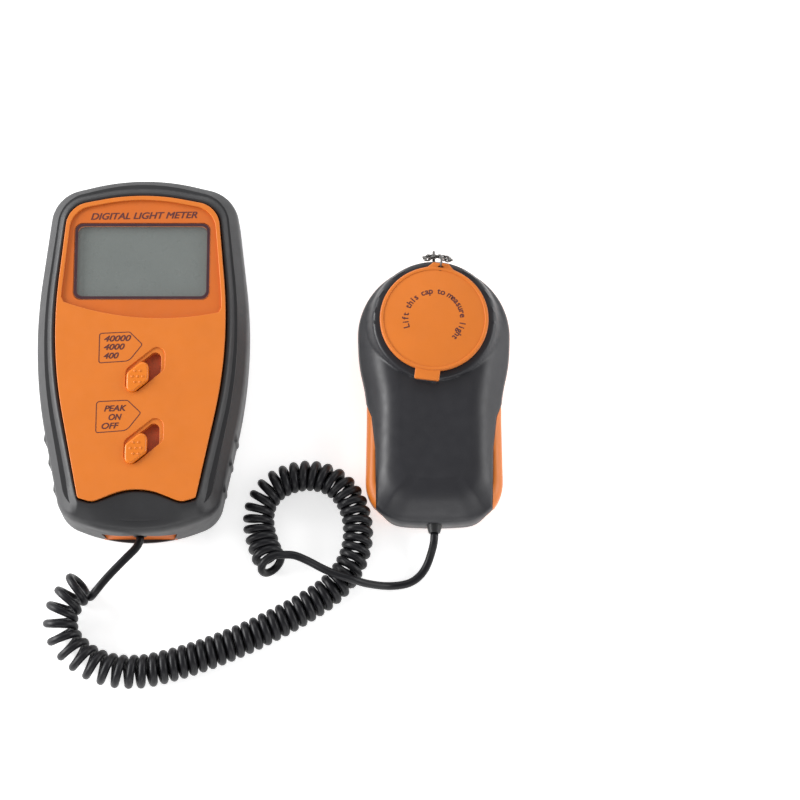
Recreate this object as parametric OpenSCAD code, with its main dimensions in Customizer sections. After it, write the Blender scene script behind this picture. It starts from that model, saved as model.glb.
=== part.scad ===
// Two-piece light meter: a hand unit with a display and two slide switches, and a
// separate light sensor under a lift-off cap, joined by a curly cord.
// Millimetres. Z is up from the table, X runs from the hand unit to the sensor,
// Y runs from the cord end to the display end. The origin is on the table, at the
// middle of the two units taken together.

/* [Hand unit] */
// Width over the rubber boot
meter_w = 70.4; // [69.4:0.2:71.6]
// Length over the rubber boot
meter_l = 122; // [120:0.5:123]
// Height of the orange face above the table
face_z = 27.4; // [27.2:0.1:28]
// Wall of the rubber boot
boot_wall = 3.3; // [3:0.1:3.5]
// Wall of the two casing shells
wall = 2; // [1.8:0.1:2.2]

/* [Display] */
// Width of the window
window_w = 45.1; // [42:0.1:46]
// Height of the window, along Y
window_l = 26.5; // [24:0.1:27.5]
// Place of the window's middle
window_y = 29.8; // [29:0.1:30.5]

/* [Slide switches] */
// Width of a knob
knob_w = 7.2; // [6.4:0.1:7.6]
// Straight side of a knob before its corners are rounded
knob_side = 8.4; // [7.6:0.1:8.8]
// Angle of the travel, up from X
knob_slant = 40; // [36:1:43]
// Whole travel over the three positions
knob_travel = 4.8; // [4:0.1:5]
// Distance between the two switches
switch_pitch = 24.2; // [24:0.1:25]

/* [Sensor] */
// Width of the sensor's head
sensor_w = 51.2; // [50:0.2:53]
// Length of the sensor
sensor_l = 90; // [88:0.5:92]
// Height of the sensor to the top of its cap
sensor_h = 20.5; // [20.3:0.1:21.5]
// Diameter of the cap
cap_d = 36.2; // [36:0.1:36.8]
// Turn of the cap on its seat
cap_turn = -7; // [-9:1:9]

/* [Layout and cord] */
// Gap between the hand unit and the sensor
unit_gap = 36.3; // [35:0.1:40]
// Diameter of the cord
wire_d = 2.7; // [2.4:0.1:2.8]
// Outer diameter of the cord's coil
coil_d = 11.8; // [11:0.1:12.4]

/* [Hidden] */
$fn = 48;

total_w = meter_w + unit_gap + sensor_w;
meter_x = (meter_w - total_w) / 2;
sensor_x = (total_w - sensor_w) / 2;
meter_y = 0.5;                     // middle of the face, from the middle of the boot
sensor_y = -11.25;
sensor_mid_y = 1.1;                // middle of the sensor's outline, in the sensor's own frame
meter_half = [meter_w, meter_l] / 2;
sensor_half = [sensor_w, sensor_l] / 2;

// Small allowances
gap = 0.15;            // between fixed pieces that only lie together
slide_gap = 0.3;       // around pieces that slide
eps = 0.1;             // how far a cutter runs past a face
arc_steps = 6;         // straight pieces in each rounded corner

// Heights in the hand unit
back_lip = 2;                   // thickness of the boot's back
shoulder_z = face_z - 2.8;      // shoulder of the casing under the boot's front lip
boot_top_z = face_z - 1.1;
recess_z = face_z - 0.9;        // floor of the display recess
window_t = 0.8;
under_face_z = face_z - 2.2;    // inside of the face
parting_z = 14;
board_bottom_z = face_z - 6.3;
board_t = 1.6;
board_top_z = board_bottom_z + board_t;
roof_z = shoulder_z - 1.6;      // inside of the shoulder
casing_end_y = boot_wall + wall - meter_l / 2 - meter_y + 0.3;  // inside of the casing's cord end

// Battery bay, seen from the hand unit's middle
bay_w = 28;
bay_y = [-48, 6.5];
bay_wall = 1.4;
bay_top_z = board_bottom_z - 1.2;
battery_size = [26.5, 46.4, 17.5];
battery_z = 2.2;
battery_y = -47;
terminal_x = 6.35;
terminal_h = 2.1;
battery_end_y = battery_y + battery_size.y;
terminal_z = battery_z + battery_size.z / 2;
door_z = [0.5, 1.9];
door_w = 31.2;
door_y = [-56, 8];

// Slide switches
slot_centre = [1.35, -8.95];
knob_radius = 1.9;
travel_x = knob_travel * cos(knob_slant);
slot_w = knob_w + travel_x + 2 * slide_gap;
slot_side = knob_side + 2 * slide_gap;
flange_z = [under_face_z - 0.9, under_face_z - 0.2];
dot_h = 0.25;
knob_top_z = face_z + 1.6;
switch_top_z = flange_z[0] - 0.2;

// Screws of the hand unit
case_screw_at = [[24.3, 43], [-24.3, 43], [22, -44], [-22, -44]];
board_screw_at = [[24.5, 9], [-24.5, 9], [20, -34], [-20, -34]];
boss_d = 6;
case_screw_d = 2.4;
board_screw_d = 1.6;
gland_z = 9.5;

// Sensor, seen from its middle
sensor_wall = 1.8;
sensor_parting_z = 7;
cap_y = 23.65;
collar_r = 20.4;
collar_z = sensor_h - 2.3;
groove_r = [15.3, 17.4];
groove_z = 16.6;
seat_r = 14;
seat_z = 14.6;
head_plate_z = 13.4;
sensor_board_z = 8;
cap_z = [sensor_h - 1.5, sensor_h];
ear_hole_r = 18.3;
sensor_gland_z = 6;
sensor_screw_at = [[17.5, -2], [-17.5, -2], [15, -33], [-15, -33]];

// Corners of the outlines, each [x, y, radius], from the middle of the top edge
// down the right side to the middle of the bottom edge
boot_corners = [
    [0, 62.5, 70], [30.4, 55.2, 12], [37.1, -0.6, 165], [25.8, -55.4, 10.4], [0, -65.3, 52.8]
];
face_corners = [
    [0, 54.1, 70], [25.2, 49.2, 8.5], [29.9, 0, 160], [19.4, -51.2, 1.2],
    [14.6, -52.6, 5], [0, -46.6, 22]
];
sensor_corners = [
    [26.6, 46.1, 25], [25.3, 10.7, 55], [22.4, -1.7, 56], [23.1, -42.6, 14.3], [0, -44.2, 125]
];
board_corners = [[17.5, 46.5, 1], [26, 32, 2], [27.5, 4, 30], [18.4, -44, 2]];

// Height and inset of each ring of the two moulded bodies
boot_levels = [[0, 3], [0.9, 1.6], [3, 0.5], [8, 0], [17, 0], [22, 0.7], [25, 2.2], [boot_top_z, 3.6]];
sensor_levels = [
    [0, 3], [0.8, 1.5], [2.5, 0.4], [6, 0], [9, 0.3], [12, 1.5], [14.4, 3.6], [16, 6.4], [16.8, 9.4]
];

// Routes of the cord: through the middle of the wire, or of the coil
meter_lead_route = [
    [meter_x, -59.5, gland_z], [meter_x, -61, 9.5],
    [-44.9, -63.3, 9.5], [-47, -65.4, 9.4], [-50.2, -68.7, 9.3], [-53.4, -72.1, 9.2],
    [-56, -75.2, 9.2], [-57.9, -77.8, 9.1], [-59.6, -79.4, 8.5], [-61.2, -79.4, 7.2],
    [-62.6, -78.6, 6]
];
coil_z = coil_d / 2 + 0.05;
coil_route = [for (p = [
    [-61.9, -74.9], [-63.7, -75.8], [-66.6, -79.1], [-69.1, -83.8], [-69.6, -88.7], [-68, -93.3],
    [-65.1, -96.8], [-61.7, -99.6], [-58.2, -101.6], [-54.6, -102.9], [-51, -103.7], [-47.4, -104],
    [-41.3, -103.7], [-34.2, -102.1], [-27.3, -100.1], [-20.4, -97.7], [-13.7, -95], [-7.1, -92.1],
    [-0.6, -88.9], [5.8, -85.5], [12, -81.8], [18, -77.6], [23, -72.5], [26.5, -66.1], [28, -59.1],
    [27.5, -51.9], [24.9, -45.2], [19.9, -40.1], [13, -38], [5.9, -38.8], [-0.5, -42.3],
    [-4.3, -48.3], [-4.8, -55.4], [-3.1, -61.9], [-1.4, -66.1], [0.7, -69.1]
]) [p.x, p.y, coil_z]];
sensor_lead_route = [
    [2.2, -67.1, 7.6], [4.4, -65.9, 9.6], [6.6, -65.9, 9.9], [9, -66.7, 10], [12.4, -68.4, 11],
    [15.7, -70.4, 12.8], [18.4, -71.8, 13.5], [20.7, -72.8, 13.7], [24, -73.8, 13.4],
    [27.2, -74.5, 11.8], [30.5, -75, 8.7], [35.4, -74.9, 4], [38.7, -74.6, 1.7], [42, -74.3, 1.4],
    [45.3, -73.5, 1.4], [47.9, -71.8, 1.4], [49.9, -69.5, 1.6], [51.4, -66.6, 2.4],
    [52.5, -63.3, 3.9], [53.1, -61.2, 5.4],
    [sensor_x, -59.4, sensor_gland_z], [sensor_x, -57.8, sensor_gland_z]
];

// ---- Outlines ----

function unit(v) = v / norm(v);

// Points of the arc that rounds corner b between its neighbours a and c
function corner_arc(a, b, c, radius) =
    let (
        u = unit(a - b),
        v = unit(c - b),
        half_angle = acos(u * v) / 2,
        reach = radius / tan(half_angle),
        centre = b + unit(u + v) * radius / sin(half_angle),
        from = b + u * reach - centre,
        to = b + v * reach - centre,
        start = atan2(from.y, from.x),
        sweep = (atan2(to.y, to.x) - start + 540) % 360 - 180
    )
    [for (i = [0:arc_steps]) centre + radius * [cos(start + sweep * i / arc_steps), sin(start + sweep * i / arc_steps)]];

// The right-hand corners, then the same corners mirrored to the left
function both_sides(right) =
    concat(right, [for (i = [len(right) - 1:-1:0]) if (right[i].x > 0) [-right[i].x, right[i].y, right[i][2]]]);

function flat(corner) = [corner.x, corner.y];

function outline(corners) =
    let (n = len(corners))
    [for (i = [0:n - 1]) each corner_arc(
        flat(corners[(i + n - 1) % n]), flat(corners[i]), flat(corners[(i + 1) % n]), corners[i][2])];

// Scales and centres an outline so that it fills a box of half size half
function fit(points, half) =
    let (
        xs = [for (p = points) p.x],
        ys = [for (p = points) p.y],
        low = [min(xs), min(ys)],
        high = [max(xs), max(ys)]
    )
    [for (p = points) [
        (p.x - (low.x + high.x) / 2) * 2 * half.x / (high.x - low.x),
        (p.y - (low.y + high.y) / 2) * 2 * half.y / (high.y - low.y)
    ]];

// Draws an outline in from its box of half size half
function inset(points, by, half) = [for (p = points) [p.x * (1 - by / half.x), p.y * (1 - by / half.y)]];

boot_outline = [for (p = fit(outline(both_sides(boot_corners)), meter_half)) p - [0, meter_y]];
sensor_outline = [for (p = fit(outline(both_sides(sensor_corners)), sensor_half)) p + [0, sensor_mid_y]];
face_scale = meter_w / 70.4;
face_outline = [for (p = outline(both_sides(face_corners))) p * face_scale];
board_outline = outline(both_sides(board_corners));

// ---- Shapes ----

// A closed skin over rings [height, inset] of one outline
module loft(points, half, levels) {
    n = len(points);
    last = (len(levels) - 1) * n;
    rings = [for (level = levels) for (p = inset(points, level[1], half)) [p.x, p.y, level[0]]];
    sides = [
        for (k = [0:len(levels) - 2]) for (i = [0:n - 1])
            let (low = k * n, j = (i + 1) % n)
            each [[low + i, low + j, low + n + j], [low + i, low + n + j, low + n + i]]
    ];
    centres = [[0, 0, levels[0][0]], [0, 0, levels[len(levels) - 1][0]]];
    hub = len(rings);
    caps = [
        for (i = [0:n - 1])
            let (j = (i + 1) % n)
            each [[hub, j, i], [hub + 1, last + i, last + j]]
    ];
    polyhedron(concat(rings, centres), concat(sides, caps));
}

module plate(points, z) {
    translate([0, 0, z[0]])
        linear_extrude(z[1] - z[0])
            polygon(points);
}

module block(x, y, z) {
    translate([x[0], y[0], z[0]])
        cube([x[1] - x[0], y[1] - y[0], z[1] - z[0]]);
}

// Square-cornered or rounded rectangle about a centre
module panel(size, z, centre = [0, 0], radius = 0.5) {
    half = size / 2;
    corners = [
        [half.x, half.y, radius], [half.x, -half.y, radius],
        [-half.x, -half.y, radius], [-half.x, half.y, radius]
    ];
    translate([centre.x, centre.y, 0])
        plate(outline(corners), z);
}

module rod(at, diameter, z) {
    translate([at.x, at.y, z[0]])
        cylinder(d = diameter, h = z[1] - z[0]);
}

module tube(outer_r, inner_r, z) {
    difference() {
        rod([0, 0], 2 * outer_r, z);
        rod([0, 0], 2 * inner_r, [z[0] - eps, z[1] + eps]);
    }
}

// Rod along Y, between two places
module rod_y(x, z, diameter, y) {
    translate([x, y[0], z])
        rotate([-90, 0, 0])
            cylinder(d = diameter, h = y[1] - y[0]);
}

// Knob and slot outline: upright sides, and ends that slope along the travel
module lozenge(width, side, z, radius = knob_radius) {
    rise = width / 2 * tan(knob_slant);
    corners = [
        [width / 2, side / 2 + rise, radius], [width / 2, rise - side / 2, radius],
        [-width / 2, -side / 2 - rise, radius], [-width / 2, side / 2 - rise, radius]
    ];
    plate(outline(corners), z);
}

// Tube swept along a route, its rings upright across the way the route runs
module sweep_tube(route, diameter, sides = 8) {
    last = len(route) - 1;
    rings = [
        for (i = [0:last])
            let (
                ahead = unit(route[min(i + 1, last)] - route[max(i - 1, 0)]),
                side = unit(cross(ahead, [0, 0, 1])),
                up = cross(side, ahead)
            )
            for (k = [0:sides - 1])
                route[i] + diameter / 2 * (side * cos(360 * k / sides) + up * sin(360 * k / sides))
    ];
    skin = [
        for (i = [0:last - 1]) for (k = [0:sides - 1])
            let (low = i * sides, j = (k + 1) % sides)
            each [[low + k, low + j, low + sides + j], [low + k, low + sides + j, low + sides + k]]
    ];
    start = [for (k = [sides - 1:-1:0]) k];
    end = [for (k = [0:sides - 1]) last * sides + k];
    polyhedron(rings, concat(skin, [start, end]));
}

// Pan-head screw, point up, with a slot across its head
module screw(at, head, shaft, z) {
    head_h = head / 3;
    difference() {
        rod(at, head, [z[0], z[0] + head_h]);
        translate([at.x - head, at.y - head / 12, z[0] - eps])
            cube([2 * head, head / 6, head_h / 2 + eps]);
    }
    rod(at, shaft, [z[0] + head_h / 2, z[1]]);
}

module ring_of_wire(major_r, wire_r) {
    rotate_extrude()
        translate([major_r, 0])
            circle(r = wire_r);
}

module on_both_sides() {
    children();
    mirror([1, 0, 0]) children();
}

module in_meter() { translate([meter_x, meter_y, 0]) children(); }
module in_sensor() { translate([sensor_x, sensor_y, 0]) children(); }

// ---- Hand unit: boot and casing ----

module rubber_boot() {
    back_window = [50, 98];
    door_gap = slide_gap + 0.2;
    notch_w = 23.4;
    notch_z = [4, 14];
    grip_z = [6, 20];
    grip_y = [-28, -36, -45];
    grip_x = [29.8, 28.2, 26.3];
    grip_d = 5;
    past_back = [-1, back_lip + eps];
    color("#4a4b4c") in_meter() {
        difference() {
            union() {
                loft(boot_outline, meter_half, boot_levels);
                for (side = [-1, 1])
                    for (i = [0:2])
                        rod([side * grip_x[i], grip_y[i]], grip_d, grip_z);
            }
            plate(inset(boot_outline, boot_wall - gap, meter_half), [back_lip, shoulder_z + gap]);
            plate(inset(face_outline, -gap, meter_half), [shoulder_z, boot_top_z + 1]);
            panel(back_window, past_back, radius = 6);
            block([-door_w / 2 - door_gap, door_w / 2 + door_gap], [-70, -45], past_back);
            block([-notch_w / 2, notch_w / 2], [-70, -55], notch_z);
        }
    }
}

module front_shell() {
    inner_casing = inset(boot_outline, boot_wall + wall, meter_half);
    inner_face = inset(face_outline, wall, meter_half);
    arc_r = 93.6;
    arc_centre = [6.5, 103.5];
    recess_border = 1.7;
    recess_cut_z = [recess_z, face_z + eps];
    window_r = 2.8;
    ledge = 1.3;
    post_d = 4.5;
    pilot_top_z = 21;
    color("#f07d22") in_meter()
        difference() {
            union() {
                difference() {
                    union() {
                        plate(inset(boot_outline, boot_wall, meter_half), [parting_z, shoulder_z]);
                        plate(face_outline, [roof_z, face_z]);
                    }
                    plate(inner_casing, [parting_z - eps, roof_z]);
                    plate(inner_face, [roof_z - eps, under_face_z]);
                }
                for (at = case_screw_at) rod(at, boss_d, [parting_z, roof_z + eps]);
                for (at = board_screw_at) rod(at, post_d, [board_top_z, under_face_z + eps]);
            }
            intersection() {
                plate(inset(face_outline, recess_border, meter_half), recess_cut_z);
                rod(arc_centre, 2 * arc_r, recess_cut_z, $fn = 160);
            }
            panel([window_w + 2 * gap, window_l + 2 * gap], [recess_z - window_t, face_z], [0, window_y], window_r);
            panel([window_w - 2 * ledge, window_l - 2 * ledge], [under_face_z - eps, face_z], [0, window_y], 2);
            for (i = [0, 1])
                translate([slot_centre.x, slot_centre.y - i * switch_pitch, 0]) {
                    lozenge(slot_w, slot_side, [under_face_z - eps, face_z + eps]);
                    translate([0.6, 1.2, 0])
                        lozenge(slot_w + 1.2, slot_side + 1.6, [face_z - 0.6, face_z + eps], 2.6);
                }
            for (at = case_screw_at) rod(at, case_screw_d + 0.1, [parting_z - eps, pilot_top_z]);
            for (at = board_screw_at) rod(at, board_screw_d + 0.1, [board_top_z - eps, under_face_z - 0.2]);
        }
}

module rear_shell() {
    shell_z = [back_lip + gap, parting_z - 0.05];
    floor_z = 4.4;
    inner_casing = inset(boot_outline, boot_wall + wall, meter_half);
    groove_x = bay_w / 2 + 1.1;
    groove_z_range = [2.8, 4];
    head_z = 5.8;
    color("#ee7a20") in_meter()
        difference() {
            union() {
                difference() {
                    plate(inset(boot_outline, boot_wall, meter_half), shell_z);
                    plate(inner_casing, [floor_z, parting_z + eps]);
                }
                difference() {
                    block([-bay_w / 2 - bay_wall, bay_w / 2 + bay_wall], [bay_y[0] - bay_wall, bay_y[1] + bay_wall],
                          [shell_z[0], bay_top_z + 0.9]);
                    block([-6.5, 6.5], [bay_y[1] - eps, bay_y[1] + 2 * bay_wall], [12, bay_top_z]);
                }
                intersection() {
                    plate(inset(boot_outline, boot_wall + wall / 2, meter_half), shell_z);
                    union() {
                        for (at = case_screw_at) rod(at, boss_d + 2.4, shell_z);
                    }
                }
            }
            block([-bay_w / 2, bay_w / 2], bay_y, [-eps, bay_top_z]);
            block([-groove_x, groove_x], [bay_y[0], bay_y[1]], groove_z_range);
            for (at = case_screw_at) {
                rod(at, case_screw_d + 0.6, [0, parting_z + eps]);
                rod(at, 5.8, [0, head_z]);
            }
            rod_y(0, gland_z, 6.9, [-62, -50]);
        }
}

module battery_door() {
    rib_x = [13.4, 13.8];
    tongue_x = 14.8;
    rib_y = [-35, 5.5];
    color("#ee7a20") in_meter() {
        difference() {
            panel([door_w, door_y[1] - door_y[0]], door_z, [0, (door_y[0] + door_y[1]) / 2], 2);
            for (i = [0:4])
                block([-7, 7], [-46 + 2 * i, -45.2 + 2 * i], [door_z[0] - eps, door_z[0] + 0.4]);
        }
        on_both_sides() {
            block(rib_x, rib_y, [door_z[1] - eps, 3.7]);
            block([rib_x[0], tongue_x], rib_y, [3.1, 3.7]);
        }
    }
}

module case_screws() {
    color("#b9bcc0") in_meter()
        for (at = case_screw_at) screw(at, 5.2, case_screw_d, [4, 20.5]);
}

module meter_gland() {
    inner_y = casing_end_y + gap;
    color("#1d1d1f") in_meter() {
        rod_y(0, gland_z, 9, [inner_y, inner_y + 1.2]);
        rod_y(0, gland_z, 6.6, [-59.1, inner_y + eps]);
        translate([0, -59, gland_z])
            rotate([90, 0, 0])
                cylinder(d1 = 6.6, d2 = 4.2, h = 1);
    }
}

// ---- Hand unit: display and electronics ----

module display_window() {
    color("#8d9a8c", 0.6) in_meter()
        panel([window_w, window_l], [recess_z - window_t, recess_z + 0.1], [0, window_y], 2.7);
}

module lcd_panel() {
    color("#9aa69a") in_meter()
        panel([46, 28], [board_top_z + 1.05, under_face_z - 0.05], [0, window_y], 0.3);
}

module lcd_frame() {
    frame_z = [board_top_z, under_face_z - gap];
    color("#2b2b2d") in_meter()
        difference() {
            intersection() {
                panel([49.4, 31.4], frame_z, [0, window_y], 1);
                plate(inset(face_outline, wall + gap, meter_half), frame_z);
            }
            panel([46.3, 28.3], [frame_z[0] - eps, frame_z[1] + eps], [0, window_y], 0.3);
            for (at = case_screw_at) rod(at, boss_d + 2 * gap, [frame_z[0] - eps, roof_z + gap]);
        }
}

module zebra_strips() {
    color("#d77f9c") in_meter()
        for (side = [-1, 1])
            panel([42, 2], [board_top_z, board_top_z + 1.05], [0, window_y + side * 12.6], 0.2);
}

module main_board() {
    color("#2e6b3c") in_meter()
        difference() {
            plate(board_outline, [board_bottom_z, board_top_z]);
            for (at = board_screw_at) rod(at, 2.4, [board_bottom_z - eps, board_top_z + eps]);
        }
}

module board_components() {
    top = board_bottom_z;
    color("#202022") in_meter() {
        rod([-10, 28], 13, [top - 1.6, top]);
        rod([9, 36], 5, [top - 7, top]);
        rod([16, 36], 5, [top - 7, top]);
        block([5, 15], [18, 24], [top - 2.4, top]);
        block([-22, -16], [36, 40], [top - 4, top]);
        for (i = [0:5]) block([-18 + 5 * i, -16 + 5 * i], [11, 12.2], [top - 1, top]);
    }
}

module board_screws() {
    color("#b9bcc0") in_meter()
        for (at = board_screw_at) screw(at, 4.2, board_screw_d, [board_bottom_z - 1.4, under_face_z - 0.5]);
}

// Slide switch on the board, with its track along the travel
module switch_body(number) {
    track = knob_travel + 3.6;
    color("#c3c5c8") in_meter()
        translate([slot_centre.x, slot_centre.y - number * switch_pitch, 0])
            rotate([0, 0, knob_slant])
                difference() {
                    block([-8, 8], [-3.4, 3.4], [board_top_z, switch_top_z]);
                    block([-track / 2, track / 2], [-1.3, 1.3], [board_top_z + 0.4, switch_top_z + eps]);
                }
}

module range_switch_body() { switch_body(0); }
module power_switch_body() { switch_body(1); }

// Knob at the low end of its travel: grip above the face, cover plate and stem below
module knob(number) {
    rest = slot_centre - knob_travel / 2 * [cos(knob_slant), sin(knob_slant)];
    dots = concat([[0, 0]], [for (i = [0:5]) 1.75 * [cos(60 * i), 1.25 * sin(60 * i)]]);
    color("#f58a2c") in_meter()
        translate([rest.x, rest.y - number * switch_pitch, 0]) {
            lozenge(knob_w, knob_side, [flange_z[0], knob_top_z - dot_h]);
            lozenge(slot_w + travel_x + 0.8, slot_side + 0.8, flange_z, 3);
            for (at = dots) rod(at, 0.9, [knob_top_z - 2 * dot_h, knob_top_z]);
            rotate([0, 0, knob_slant])
                block([-1.5, 1.5], [-1, 1], [board_top_z + 0.7, flange_z[0] + eps]);
        }
}

module range_knob() { knob(0); }
module power_knob() { knob(1); }

module battery() {
    size = battery_size;
    color("#6f7377") in_meter() {
        panel([size.x, size.y], [battery_z, battery_z + size.z], [0, battery_y + size.y / 2], 1.5);
        rod_y(-terminal_x, terminal_z, 5.7, [battery_end_y - eps, battery_end_y + terminal_h]);
        difference() {
            rod_y(terminal_x, terminal_z, 8.2, [battery_end_y - eps, battery_end_y + terminal_h]);
            rod_y(terminal_x, terminal_z, 6.4, [battery_end_y, battery_end_y + terminal_h + eps]);
        }
    }
}

module battery_snap() {
    plate_y = battery_end_y + terminal_h + 0.1;
    color("#1b1b1c") in_meter() {
        difference() {
            union() {
                block([-12, 12], [plate_y, plate_y + 2], [terminal_z - 5, terminal_z + 5]);
                rod_y(-terminal_x, terminal_z, 8.2, [battery_end_y + gap, plate_y + eps]);
            }
            rod_y(-terminal_x, terminal_z, 5.95, [battery_end_y, plate_y]);
        }
        rod_y(terminal_x, terminal_z, 6.1, [battery_end_y + 0.3, plate_y + eps]);
    }
}

module battery_leads() {
    start_y = battery_end_y + terminal_h + 2.5;
    color("#b3261e") in_meter()
        for (side = [-1, 1])
            sweep_tube([
                [4 * side, start_y, terminal_z], [4 * side, start_y + 0.9, terminal_z + 0.6],
                [4 * side, 7, 14], [4.4 * side, 9, 16.5], [4.8 * side, 10.6, 18.5],
                [5 * side, 11.6, board_bottom_z - 0.3]
            ], 1.3);
}

module signal_wires() {
    inner_y = casing_end_y + gap + 1.3;
    color("#e8e4d8") in_meter()
        for (side = [-1, 1])
            sweep_tube([
                [1.5 * side, inner_y, gland_z], [2 * side, -53.2, gland_z + 0.1], [4 * side, -52.4, 10],
                [9 * side, -51.6, 11.5], [13.6 * side, -51.2, 14], [16.8 * side, -49.6, 16.2],
                [17.6 * side, -46, 18.4], [17.4 * side, -41, board_bottom_z - 0.5]
            ], 1.2);
}

// ---- Sensor ----

// Outside of the sensor, or the same body drawn in by its wall
module sensor_body(shrink = 0) {
    levels = shrink == 0
        ? sensor_levels
        : [for (level = sensor_levels) [max(level[0] - shrink, shrink), level[1] + shrink * 0.8]];
    inner = [for (i = [0:len(levels) - 1]) if (i == len(levels) - 1 || levels[i + 1][0] > levels[i][0]) levels[i]];
    loft(sensor_outline, sensor_half, inner);
}

// The two bands along the tail's sides where the bottom shell shows
module cheeks(grow = 0) {
    band = [
        [30, -1.5, 0.1], [21.6, -1.5, 0.1], [20.6, -8, 12], [19.6, -20, 20], [19.2, -46, 0.1], [30, -46, 0.1]
    ];
    on_both_sides()
        translate([-grow, 0, 0])
            plate(outline(band), [sensor_parting_z - 1, 30]);
}

module sensor_top_shell() {
    color("#3a3b3f") in_sensor()
        difference() {
            union() {
                difference() {
                    sensor_body();
                    sensor_body(sensor_wall);
                }
                translate([0, cap_y, 0]) rod([0, 0], 2 * collar_r, [head_plate_z, collar_z]);
                for (at = sensor_screw_at) rod(at, 5.4, [sensor_parting_z, 14.6]);
            }
            block([-40, 40], [-60, 60], [-1, sensor_parting_z + 0.05]);
            cheeks(0.1);
            translate([0, cap_y, 0]) {
                translate([0, 0, groove_z]) tube(groove_r[1], groove_r[0], [0, 5]);
                rod([0, 0], 2 * seat_r, [seat_z, 25]);
                rod([0, 0], 23, [head_plate_z - 1, 25]);
                rotate([0, 0, cap_turn]) block([-4.6, 4.6], [16.5, 26], [groove_z, 25]);
            }
            for (at = sensor_screw_at) rod(at, 2.1, [0, 13.5]);
            rod_y(0, sensor_gland_z, 5.5, [-50, -38.5]);
            rod_y(0, 12, 1.3, [39, 49]);
        }
}

module sensor_bottom_shell() {
    color("#ee7a20") in_sensor()
        difference() {
            union() {
                difference() {
                    intersection() {
                        sensor_body();
                        union() {
                            block([-40, 40], [-60, 60], [-1, sensor_parting_z]);
                            cheeks();
                        }
                    }
                    sensor_body(sensor_wall);
                }
                for (at = sensor_screw_at) rod(at, 6.4, [0.9, sensor_parting_z]);
            }
            for (at = sensor_screw_at) {
                rod(at, 2.6, [-1, 10]);
                rod(at, 4.8, [-1, 3.4]);
            }
            rod_y(0, sensor_gland_z, 5.5, [-50, -38.5]);
        }
}

module sensor_board() {
    color("#2e6b3c") in_sensor()
        translate([0, 0, sensor_board_z]) difference() {
            panel([27, 46], [0, 1.6], [0, 14], 4);
            for (side = [-1, 1]) rod([side * 11, -6], 2, [-eps, 2]);
        }
}

module photodiode() {
    color("#3c4a78") in_sensor()
        panel([11, 11], [sensor_board_z + 1.6, sensor_board_z + 3.4], [0, cap_y], 0.4);
}

module filter_holder() {
    color("#18181a") in_sensor()
        translate([0, cap_y, 0]) tube(11, 9.3, [sensor_board_z + 1.6, head_plate_z]);
}

module optical_filter() {
    color("#7fae7a", 0.7) in_sensor()
        rod([0, cap_y], 18.4, [11.9, head_plate_z - 0.1]);
}

module diffuser() {
    dome_r = 33;
    color("#f4f2ea") in_sensor()
        translate([0, cap_y, 0]) {
            rod([0, 0], 27.6, [seat_z, seat_z + 1.4]);
            intersection() {
                translate([0, 0, 18.3 - dome_r]) sphere(r = dome_r, $fn = 96);
                rod([0, 0], 24.6, [seat_z + 1, 20]);
            }
        }
}

module diffuser_ring() {
    color("#18181a") in_sensor()
        translate([0, cap_y, 0]) tube(13.85, 12.6, [seat_z + 1.45, seat_z + 2.9]);
}

module sensor_screws() {
    color("#b9bcc0") in_sensor()
        for (at = sensor_screw_at) screw(at, 4.4, 2, [1.9, 12.5]);
}

module sensor_gland() {
    color("#1d1d1f") in_sensor() {
        rod_y(0, sensor_gland_z, 7, [-41.2, -40]);
        rod_y(0, sensor_gland_z, 5.2, [-43.9, -41.1]);
        translate([0, -43.8, sensor_gland_z])
            rotate([90, 0, 0])
                cylinder(d1 = 5.2, d2 = 3.8, h = 2.55);
    }
}

module sensor_wires() {
    color("#e8e4d8") in_sensor()
        for (side = [-1, 1])
            sweep_tube([
                [1.2 * side, -39.8, sensor_gland_z], [1.4 * side, -38, 6.1], [2 * side, -30, 6.4],
                [2.6 * side, -20, 6.6], [3 * side, -14, 7.4], [3.2 * side, -11, 8.8], [3.4 * side, -9.3, 9]
            ], 1.1);
}

module chain_eyelet() {
    color("#c9ccd0") in_sensor() {
        rod_y(0, 12, 1.1, [42.9, 46.6]);
        translate([0, 47.9, 12]) rotate([0, 90, 0]) ring_of_wire(1.5, 0.45);
    }
}

module cap_chain() {
    color("#c9ccd0") in_sensor()
        sweep_tube([
            [3.2, 46.8, 17.6], [5.4, 47.6, 16.4], [6, 49, 14], [4, 50.1, 11.6], [1.6, 50.4, 11.2],
            [0.9, 50, 11.6]
        ], 1.2);
}

module sensor_cap() {
    rim_w = 1.2;
    ear = [[-4.4, 16.6, 0.3], [-2.7, 20.3, 0.8], [2.7, 20.3, 0.8], [4.4, 16.6, 0.3]];
    color("#f58220") in_sensor()
        translate([0, cap_y, 0]) rotate([0, 0, cap_turn])
            difference() {
                union() {
                    rod([0, 0], cap_d, cap_z);
                    plate(outline([for (i = [3:-1:0]) ear[3 - i]]), cap_z);
                    panel([8.3, 6], cap_z, [0, -18.2], 0.8);
                    tube(17, groove_r[0] + slide_gap, [groove_z + 0.4, cap_z[0] + eps]);
                }
                rod([0, 0], cap_d - 2 * rim_w, [cap_z[1] - 0.3, cap_z[1] + eps]);
                rod([0, ear_hole_r], 2, [cap_z[0] - eps, cap_z[1] + eps]);
            }
}

module cap_ring() {
    color("#c9ccd0") in_sensor()
        translate([0, cap_y, 0]) rotate([0, 0, cap_turn])
            translate([0, ear_hole_r + 1.6, (cap_z[0] + cap_z[1]) / 2])
                rotate([0, 90, 0]) ring_of_wire(1.9, 0.35);
}

// ---- Cord ----

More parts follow.
